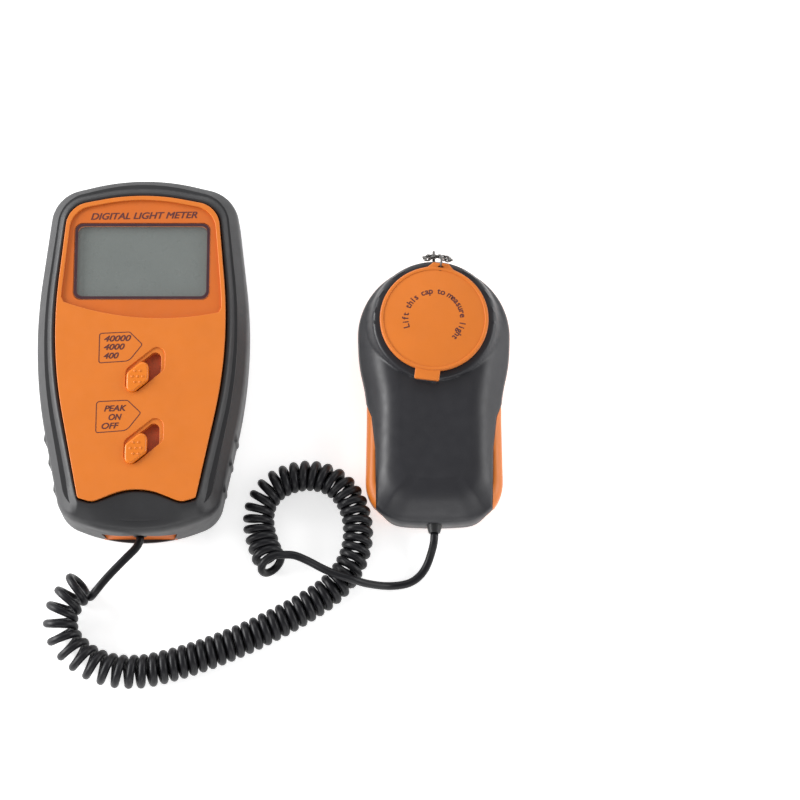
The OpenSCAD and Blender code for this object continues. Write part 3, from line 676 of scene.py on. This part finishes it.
slot_width = KNOB_W + TRAVEL * math.cos(SLANT) + 0.6
slot_side = KNOB_SIDE + 0.6
slots = [lozenge(slot_width, slot_side, KNOB_R, SLOT - [0, k * SLOT_PITCH]) for k in (0, 1)]
wells = [lozenge(slot_width + 1.2, slot_side + 1.6, 2.6, SLOT + [0.6, 1.2 - k * SLOT_PITCH]) for k in (0, 1)]


def recess_outline():
    """The display recess: the face's upper part above a wide arc."""
    border = 1.7
    arc_centre, arc_r = np.array([6.5, 103.5]), 93.6
    upper = inset(face_outline, border, METER_HALF)
    upper = upper if clockwise(upper) else upper[::-1]
    inside = np.linalg.norm(upper - arc_centre, axis=1) < arc_r
    start = int(np.argmax(inside & ~np.roll(inside, 1)))
    upper = np.roll(upper, -start, 0)
    upper = upper[: int(np.argmax(~np.roll(inside, -start)))]

    def on_arc(point):
        across = point[0] - arc_centre[0]
        return math.atan2(-math.sqrt(arc_r**2 - across**2), across)

    arc = np.linspace(on_arc(upper[-1]), on_arc(upper[0]), 60)[1:-1]
    low = arc_centre + arc_r * np.stack([np.cos(arc), np.sin(arc)], 1)
    return np.concatenate([upper, low])


window_half = (WINDOW_HIGH - WINDOW_LOW)[:2] / 2
window_middle = np.array([0, (WINDOW_LOW[1] + WINDOW_HIGH[1]) / 2 - METER[1]])
window_outline = rectangle(*(2 * window_half), 2.7, window_middle)


def window_grown(by):
    """The window's outline drawn out by a distance."""
    return window_middle + (window_outline - window_middle) * (1 + by / window_half)


def front():
    """Face plate, its window's seat, the floor of the knobs' wells and the casing's skirt inside the boot."""
    below = inset(face_outline, 0.3, METER_HALF)
    upper = slab_parts(face_outline, [recess_outline(), *wells], RECESS_FLOOR - 0.05, FACE_TOP, 0.22)
    seat = slab_parts(below, [window_grown(-0.8), *slots], SEAT_LOW, RECESS_FLOOR - 0.84, 0.0)
    step = outline([[11, 4, 2], [11, -44, 2], [-8, -44, 2], [-8, 4, 2]], 4)
    well_floor = slab_parts(step, slots, RECESS_FLOOR - 0.1, FACE_TOP - 0.5, 0.15)
    skirt_outer, skirt_inner = (inset(boot_outline, by, METER_HALF) for by in (3.35, 5.3))
    skirt = slab_parts(skirt_outer, [skirt_inner], SKIRT_LOW, SKIRT_HIGH, 0.3)
    points, faces, flags = join_parts(upper, seat, well_floor, skirt)
    piece = add_mesh("orange_front", points, faces, ORANGE, METER, flags)
    # the recess floor takes the darker orange copy, painted shade
    floor_piece = slab(
        "recess_floor", below, RECESS_FLOOR - 0.85, RECESS_FLOOR, SHADED_ORANGE,
        holes=[window_grown(0.15), *slots], bevel=0.12, centre=METER,
    )
    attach(floor_piece, "meter")
    return piece


front_piece = front()
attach(front_piece, "meter")
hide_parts("front_shell")


# ---- Hand unit: display ----

window_piece = slab(
    "window_pane", window_outline, WINDOW_LOW[2], WINDOW_HIGH[2], WINDOW, bevel=0.2, centre=METER
)
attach(window_piece, "meter")
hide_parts("display_window")
clear_part = rectangle(*(2 * window_half - 2.1), 2.0, window_middle)
border_piece = slab(
    "window_border", window_grown(-0.15), WINDOW_HIGH[2] - 0.03, WINDOW_HIGH[2] + 0.03, BORDER,
    holes=[clear_part], bevel=0, centre=METER,
)
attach(border_piece, "meter")


# ---- Hand unit: knobs ----


def dome(at, radius, low, high):
    """Low round bump."""
    rings = []
    for a in np.arange(5) * math.pi / 10:
        ring = circle(radius * math.cos(a), at, 16)
        rings.append(np.column_stack([ring, np.full(16, low + (high - low) * math.sin(a))]))
    points, faces, flags = filled(rings, [*at, high])
    return points, faces + [tuple(range(16))[::-1]], flags + [False]


def knob(body, number):
    """Grip with seven bumps, and the wide cover under it that closes the slot."""
    top = box_mm(body)[1][2] - BUMP_RISE
    rest = SLOT - [0, number * SLOT_PITCH] - TRAVEL / 2 * np.array([math.cos(SLANT), math.sin(SLANT)])
    grip = slab_parts(lozenge(KNOB_W, KNOB_SIDE, KNOB_R, rest), (), FLANGE_TOP - 0.1, top, 0.7, steps=6)
    spots = [(0, 0)] + [(1.75 * math.cos(a), 1.75 * 1.25 * math.sin(a)) for a in np.arange(6) * math.pi / 3]
    dots = [dome(rest + np.array(s), 0.46, top - 0.05, top + BUMP_RISE) for s in spots]
    points, faces, flags = join_parts(grip, *dots)
    piece = add_mesh(f"{body}_grip", points, faces, KNOB, METER, flags)
    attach(piece, body)
    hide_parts(body)
    cover_width = slot_width + TRAVEL * math.cos(SLANT) + 1.2
    cover_outline = lozenge(cover_width, slot_side + 2 * TRAVEL * math.sin(SLANT), 1, rest)
    # the cover's dark red-brown is painted shade standing in for the deep slot's shadow
    cover = slab(
        f"{body}_cover", cover_outline, FLANGE_TOP - 0.7, FLANGE_TOP, SLOT_SHADE_ORANGE, bevel=0.1, centre=METER
    )
    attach(cover, body)


knob("range_knob", 0)
knob("power_knob", 1)


# ---- Hand unit: printed legends ----

BOLD = 0.13
TAG_LINE = 0.28
INK_RISE = 0.02
INK_Z = FACE_TOP + INK_RISE
TITLE = "DIGITAL LIGHT METER"
LEGEND = {"turn": 2, "shear": 0.3}


def glyphs(text, size, shear=0.0):
    """Points and faces of a line of text, in millimetres."""
    curve = bpy.data.curves.new("line", "FONT")
    curve.body = text
    curve.size = size
    curve.shear = shear
    curve.extrude = INK_RISE
    holder = bpy.data.objects.new("line", curve)
    bpy.context.scene.collection.objects.link(holder)
    depsgraph = bpy.context.evaluated_depsgraph_get()
    mesh = bpy.data.meshes.new_from_object(holder.evaluated_get(depsgraph))
    points = np.array([v.co for v in mesh.vertices])
    faces = [tuple(p.vertices) for p in mesh.polygons]
    bpy.data.objects.remove(holder)
    bpy.data.curves.remove(curve)
    bpy.data.meshes.remove(mesh)
    return points, faces


def placed(text, size, at, z, turn=0.0, width=None, **style):
    """A line of text from its lower left corner, made bolder by copies set a little apart."""
    points, faces = glyphs(text, size, **style)
    low, high = points[:, 0].min(), points[:, 0].max()
    stretch = 1 if width is None else (width - BOLD) / (high - low)
    copies = []
    for k, shift in enumerate(((0, 0), (1, 0), (0, 0.8), (1, 0.8), (0.5, 0.4))):
        moved = (points[:, :2] - [low, 0]) * [stretch, 1] + BOLD * np.array(shift)
        xy = turned(moved, turn) + np.array(at)
        copies.append((np.column_stack([xy, points[:, 2] + z + 0.002 * k]), faces, [False] * len(faces)))
    return join_parts(*copies)


def tag(corners, z):
    """Thin printed frame line."""
    loop = without_repeats(outline(corners, 8))
    loop = loop[::-1] if clockwise(loop) else loop
    return slab_parts(loop, [offset_loop(loop, TAG_LINE)], z - INK_RISE, z + INK_RISE, 0)


range_tag = [[-13.5, 4.7, 1.0], [-3.4, 5.2, 1.2], [1.0, 0.8, 0.8], [-3.4, -5.0, 3.5], [-13.5, -5.7, 0.8]]
power_tag = [
    [-13.9, -18.6, 1.2], [-3.6, -18.1, 1.2], [1.0, -22.5, 0.8], [-3.6, -28.6, 3.5], [-13.9, -29.4, 0.8],
]
legend_parts = [
    placed(TITLE, 3.2, (-17.4, 44.3), RECESS_FLOOR + INK_RISE, turn=1.0, shear=0.3, width=35.5),
    tag(range_tag, INK_Z),
    placed("40000", 2.8, (-11.8, 1.7), INK_Z, **LEGEND, width=8.9),
    placed("4000", 2.8, (-11.8, -1.15), INK_Z, **LEGEND, width=6.9),
    placed("400", 2.8, (-11.8, -4.15), INK_Z, **LEGEND, width=5.0),
    tag(power_tag, INK_Z),
    placed("PEAK", 2.8, (-11.2, -22.1), INK_Z, **LEGEND, width=7.3),
    placed("ON", 2.8, (-9.7, -25.0), INK_Z, **LEGEND, width=4.4),
    placed("OFF", 2.8, (-11.9, -28.0), INK_Z, **LEGEND, width=5.8),
]
points, faces, flags = join_parts(*legend_parts)
legends = add_mesh("face_legends", points, faces, INK, METER, flags)
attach(legends, "meter")


# ---- Sensor ----

SEAM_Z = 7.0
BAND_DEPTH = 3.75
BAND_TOP_Z = 10.8
TOP_Z = 16.9
SHELL_WALL = 1.6
TRAY_FLOOR = 2.0
SHELL_SCALE = 0.94
WINDOW_R = 13.95
COLLAR_R, COLLAR_FOOT_R, COLLAR_DROP = 19.9, 24.5, 13
SCREW_PLACES = ((17.5, -2), (-17.5, -2), (15, -33), (-15, -33))
SCREW_HOLE_R, SCREW_HOLE_DEEP = 2.4, 1.9
sensor_ring = matched(sensor_outline, [(25.6, 15), (22.7, -19), (21, -42)], (90, 60, 60, 60))
band_edge = np.interp(-sensor_ring[:, 1], [-12, -2, 1.5, 8, 20, 46], [27, 25, 23.1, 20.9, 19.7, 19.2])
at_tail = step_between(-sensor_ring[:, 1], 40, 43)
band_share = 1 - band_edge / np.maximum(np.abs(sensor_ring[:, 0]), 1)
band_width = np.clip(band_share * SENSOR_HALF[0], 0, BAND_DEPTH)


def band_height(by):
    """Height of the orange side band, a distance in from the outline."""
    share = np.clip(by / BAND_DEPTH, 0, 1)
    return SEAM_Z + (BAND_TOP_Z - SEAM_Z) * np.sqrt(1 - (1 - share) ** 2)


def shell_height(by):
    """Height of the dark shell: an upright edge, a soft brim, a shoulder and a nearly flat top."""
    places = [0, 0.15, 0.5, 1.2, 2.2, 3.4, 4.6, 5.8, 7.2, 9, 12, 16]
    heights = [7.6, 8.8, 9.5, 10.2, 11.0, 12.1, 13.3, 14.4, 15.3, 16.1, 16.7, TOP_Z]
    reach = 25
    fine = np.arange(0, 30, 0.05)
    line = np.pad(np.interp(fine, places, heights), reach, mode="edge")
    evenly = np.ones(2 * reach + 1) / (2 * reach + 1)
    for _ in range(2):
        line = np.convolve(np.pad(line, reach, mode="edge"), evenly, "valid")
    soft = line[reach : reach + len(fine)]
    share = step_between(fine, 0.3, 2.0)
    return np.interp(by, fine, np.interp(fine, places, heights) * (1 - share) + soft * share)


def sensor_at(by, z):
    """Ring of the sensor's outline drawn in by a distance, at a height."""
    xy = sensor_ring * (1 - np.broadcast_to(by, len(sensor_ring))[:, None] / SENSOR_HALF)
    return np.column_stack([xy, np.broadcast_to(z, len(sensor_ring))])


def with_collar(ring):
    """Lifts a ring of the shell where the raised collar around the light window stands."""
    r = np.linalg.norm(ring[:, :2] - CAP, axis=1)
    collar = CAP_LOW - 0.9 - step_between(r, COLLAR_R, COLLAR_FOOT_R) * COLLAR_DROP
    ring[:, 2] = np.maximum(ring[:, 2], collar)
    return ring


def sensor_top():
    """Dark shell: a raised collar with its round window, a lower edge that is drawn in beside the bands
    and low at the tail, and a lining a wall's thickness inside it."""
    seam = band_height(band_width) - 5.4 * at_tail
    rings = [sensor_at(band_width + 0.3, seam - 0.5), sensor_at(band_width + 0.02, seam - 0.1)]
    rings.append(sensor_at(band_width, np.maximum(seam, SEAM_Z)))
    steps = np.concatenate([[0.0, 0.12, 0.3, 0.6, 1.0, 1.5], np.arange(2.2, 13, 0.75)])
    for step in steps:
        by = band_width * (1 - step_between(step, 2, 11)) + step
        height = shell_height(by / (1 + 0.25 * at_tail)) - 0.9 * np.exp(-step / 0.25)
        rings.append(with_collar(sensor_at(by, np.maximum(height, band_height(band_width)))))
    for share in np.linspace(1, 0, 42)[1:-1]:
        ring = sensor_at(steps[-1], shell_height(steps[-1])) * [share, share, 1]
        ring[:, 2] += (TOP_Z - ring[:, 2]) * step_between(1 - share, 0, 0.8)
        rings.append(with_collar(ring))
    points, faces, _ = filled(rings, [0, 0, TOP_Z])
    lining = []
    for ring in rings[::3]:
        height = np.maximum(ring[:, 2] - SHELL_WALL, TRAY_FLOOR + 0.4)
        lining.append(np.column_stack([ring[:, :2] * SHELL_SCALE, height]))
    inner_points, inner_faces, _ = filled(lining, [0, 0, TOP_Z - SHELL_WALL])
    base, count = len(points), len(sensor_ring)
    lip = [(i, (i + 1) % count, base + (i + 1) % count, base + i) for i in range(count)]
    faces = [f[::-1] for f in faces] + [tuple(base + i for i in f) for f in inner_faces] + lip
    piece = add_mesh("sensor_top", np.concatenate([points, inner_points]), faces, CHARCOAL, SENSOR)
    cut(piece, extruded("window_cutter", circle(WINDOW_R, CAP, 96), 13, 25, SENSOR))
    sharp_edges(piece, 50)
    return piece


def sensor_bottom():
    """Orange tray whose sides rise into the two tapering side bands."""
    tuck = 0.25 * (1 - step_between(band_width, 0, 0.8)) + at_tail
    rings = [sensor_at(by + tuck, z) for by, z in ((3.0, 0), (1.5, 0.7), (0.4, 2.4), (0, 4.5), (0, 6.4))]
    for share in (0.0, 0.04, 0.12, 0.3, 0.55, 0.8, 1.0):
        by = band_width * share
        rings.append(sensor_at(by + tuck, band_height(by)))
    rings.append(sensor_at(band_width + 0.7, band_height(band_width) - 0.4))
    rings.append(sensor_at(band_width + 2.0, SEAM_Z - 0.7))
    rings.append(sensor_at(band_width + 2.2, TRAY_FLOOR))
    points, faces, flags = filled(rings, [0, 0, TRAY_FLOOR])
    base, count = len(points), len(sensor_ring)
    faces = [f[::-1] for f in faces] + [(base, i, (i + 1) % count) for i in range(count)]
    flags += [False] * count
    piece = add_mesh("sensor_tray", np.concatenate([points, [[0, 0, 0]]]), faces, ORANGE, SENSOR, flags)
    for at in SCREW_PLACES:
        cut(piece, extruded("screw_cutter", circle(SCREW_HOLE_R, at, 32), -1, SCREW_HOLE_DEEP, SENSOR))
    sharp_edges(piece, 45)
    return piece


sensor_piece = sensor_top()
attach(sensor_piece, "sensor")
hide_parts("sensor_top_shell")
tray_piece = sensor_bottom()
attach(tray_piece, "sensor")
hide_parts("sensor_bottom_shell")


# ---- Sensor: cap and its chain ----

CAP_R = 18.1
EAR_HOLE_R = 17.7
CAP_TURN = -7
CAP_LIP = 0.25
RIM_R = (17.85, 16.9)
SKIRT_R = (17.0, 15.6)
SKIRT_FOOT_Z = 17.0
WORDS = "Lift this cap to measure light"
WORDS_START, WORDS_SWEEP, WORDS_R = 203, 240, 8.6


def cap_shape():
    """Cap outline: disc with a tapering ear at the top and a square tab at the bottom."""

    def rounded(before, corner, after, radius):
        return corner_arc(np.array(before, float), np.array(corner, float), np.array(after, float), radius, 6)

    turns = np.radians(np.arange(-74, 72.1, 1.5))
    side = CAP_R * np.stack([np.cos(turns), np.sin(turns)], 1)
    foot, shoulder, tip = side[-1], (4.2, 17.75), (2.6, 19.5)
    ear = np.concatenate([rounded(foot, shoulder, tip, 1.2), rounded(shoulder, tip, (-2.6, 19.5), 0.7)])
    tab = rounded((0, -21.2), (4.15, -21.2), (4.15, -17), 0.6)
    right = np.concatenate([tab, [[4.15, side[0, 1] - 0.15]], side, ear])
    return np.concatenate([right, right[::-1] * [-1, 1]])


def cap():
    """Disc with its ear's hole, raised rim with the skirt below, and the words on a ring."""
    body = slab_parts(cap_shape(), (), CAP_LOW, CAP_TOP - CAP_LIP, 0.25, bottom_bevel=0.15)
    rim_outer, rim_inner = (circle(r, count=160) for r in RIM_R)
    rim = slab_parts(rim_outer, [rim_inner], CAP_TOP - 0.4, CAP_TOP, 0.2)
    skirt_outer, skirt_inner = (circle(r, count=120) for r in SKIRT_R)
    skirt = slab_parts(skirt_outer, [skirt_inner], SKIRT_FOOT_Z, CAP_LOW + 0.1, 0.0)
    words = []
    for k, letter in enumerate(WORDS):
        if letter == " ":
            continue
        around = WORDS_START - WORDS_SWEEP * k / (len(WORDS) - 1)
        a = math.radians(around)
        points, faces, flags = placed(letter, 2.9, (0, 0), CAP_TOP - CAP_LIP + 0.01)
        middle = (points[:, 0].min() + points[:, 0].max()) / 2
        xy = turned(points[:, :2] - [middle, 0], around - 90) + WORDS_R * np.array([math.cos(a), math.sin(a)])
        words.append((np.column_stack([xy, points[:, 2]]), faces, flags))
    centre = SENSOR + CAP
    made = []
    pieces = (
        ("cap_disc", body, ORANGE),
        ("cap_rim", join_parts(rim, skirt), ORANGE),
        ("cap_words", join_parts(*words), INK),
    )
    for name, (points, faces, flags), material in pieces:
        points[:, :2] = turned(points[:, :2], CAP_TURN)
        made.append(add_mesh(name, points, faces, material, centre, flags))
    hole = turned(circle(1.0, (0, EAR_HOLE_R), 24), CAP_TURN)
    cut(made[0], extruded("hole_cutter", hole, CAP_LOW - 1, CAP_TOP + 1, centre))
    sharp_edges(made[0], 50)
    return made


cap_piece, cap_rim, cap_words = cap()
for piece in (cap_piece, cap_rim, cap_words):
    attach(piece, "cap")
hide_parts("sensor_cap")

CHAIN_START = (0.2, 47.8, 12.6)
CHAIN_END = (3.2, 44.7, 18.9)
LINK_STEP = 1.15
LINK_LONG, LINK_WIDE, LINK_WIRE = 0.95, 0.6, 0.27


def chain():
    """Fine oval links, each turned a quarter against the last, from the sensor's eyelet to the cap's ring."""
    line = smooth_line([
        CHAIN_START, (-1.4, 47.4, 13.8), (-2.8, 46.6, 15.2), (-3.2, 45.7, 16.6), (-2.0, 45.2, 17.4),
        (0.0, 46.2, 16.4), (2.2, 46.9, 15.0), (4.2, 46.6, 15.0), (5.6, 45.4, 16.4), (5.0, 44.5, 18.0),
        CHAIN_END,
    ])
    length = np.linalg.norm(np.diff(line, axis=0), axis=1).sum()
    stations = along(line, int(length / LINK_STEP))
    ahead = unit(np.gradient(stations, axis=0))
    turns = np.linspace(0, 2 * math.pi, 20, endpoint=False)
    links = []
    for k, (at, way) in enumerate(zip(stations, ahead)):
        side = unit(np.cross(way, [0.2, 0.3, 1]))
        if k % 2:
            side = np.cross(way, side)
        oval = at + LINK_LONG * np.cos(turns)[:, None] * way + LINK_WIDE * np.sin(turns)[:, None] * side
        links.append(tube_parts(oval, LINK_WIRE, 8, closed=True))
    points, faces, flags = join_parts(*links)
    return add_mesh("chain_links", points, faces, CHAIN, SENSOR, flags)


chain_piece = chain()
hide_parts("cap_chain")
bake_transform(chain_piece)


# ---- Floor and light ----

FLOOR = surface(
    "pale_floor", (0.90, 0.90, 0.90), 0.75, mottle=0.005, grain=0.02, grain_size=3, Emission_Strength=0.66
)
FLOOR_HALF = 3000
floor_corners = [(x * FLOOR_HALF, y * FLOOR_HALF, 0) for x, y in ((-1, -1), (1, -1), (1, 1), (-1, 1))]
floor = add_mesh("floor", floor_corners, [(0, 1, 2, 3)], FLOOR, smooth=False)
floor.location.z = -0.0001


def softbox(name, place, size, power):
    """Rectangular lamp that faces the object."""
    light = bpy.data.lights.new(name, "AREA")
    light.shape = "RECTANGLE"
    light.size, light.size_y = size
    light.energy = power
    holder = bpy.data.objects.new(name, light)
    holder.location = place
    holder.rotation_mode = "QUATERNION"
    holder.rotation_quaternion = (Vector((0, 0, 0.02)) - Vector(place)).to_track_quat("-Z", "Y")
    bpy.context.scene.collection.objects.link(holder)


softbox("left_light", (-1.1, 0.15, 0.42), (1.1, 0.6), 22)
softbox("right_light", (1.3, 0.1, 0.5), (1.0, 0.7), 9)
softbox("front_light", (0.1, -1.3, 0.5), (1.4, 0.5), 6)
softbox("back_light", (0, 1.2, 0.8), (1.6, 0.6), 7)

world = bpy.data.worlds.new("world")
world.use_nodes = True
world.node_tree.nodes["Background"].inputs["Color"].default_value = (1, 1, 1, 1)
world.node_tree.nodes["Background"].inputs["Strength"].default_value = 0.35
bpy.context.scene.world = world
bpy.context.scene.view_settings.view_transform = "Standard"
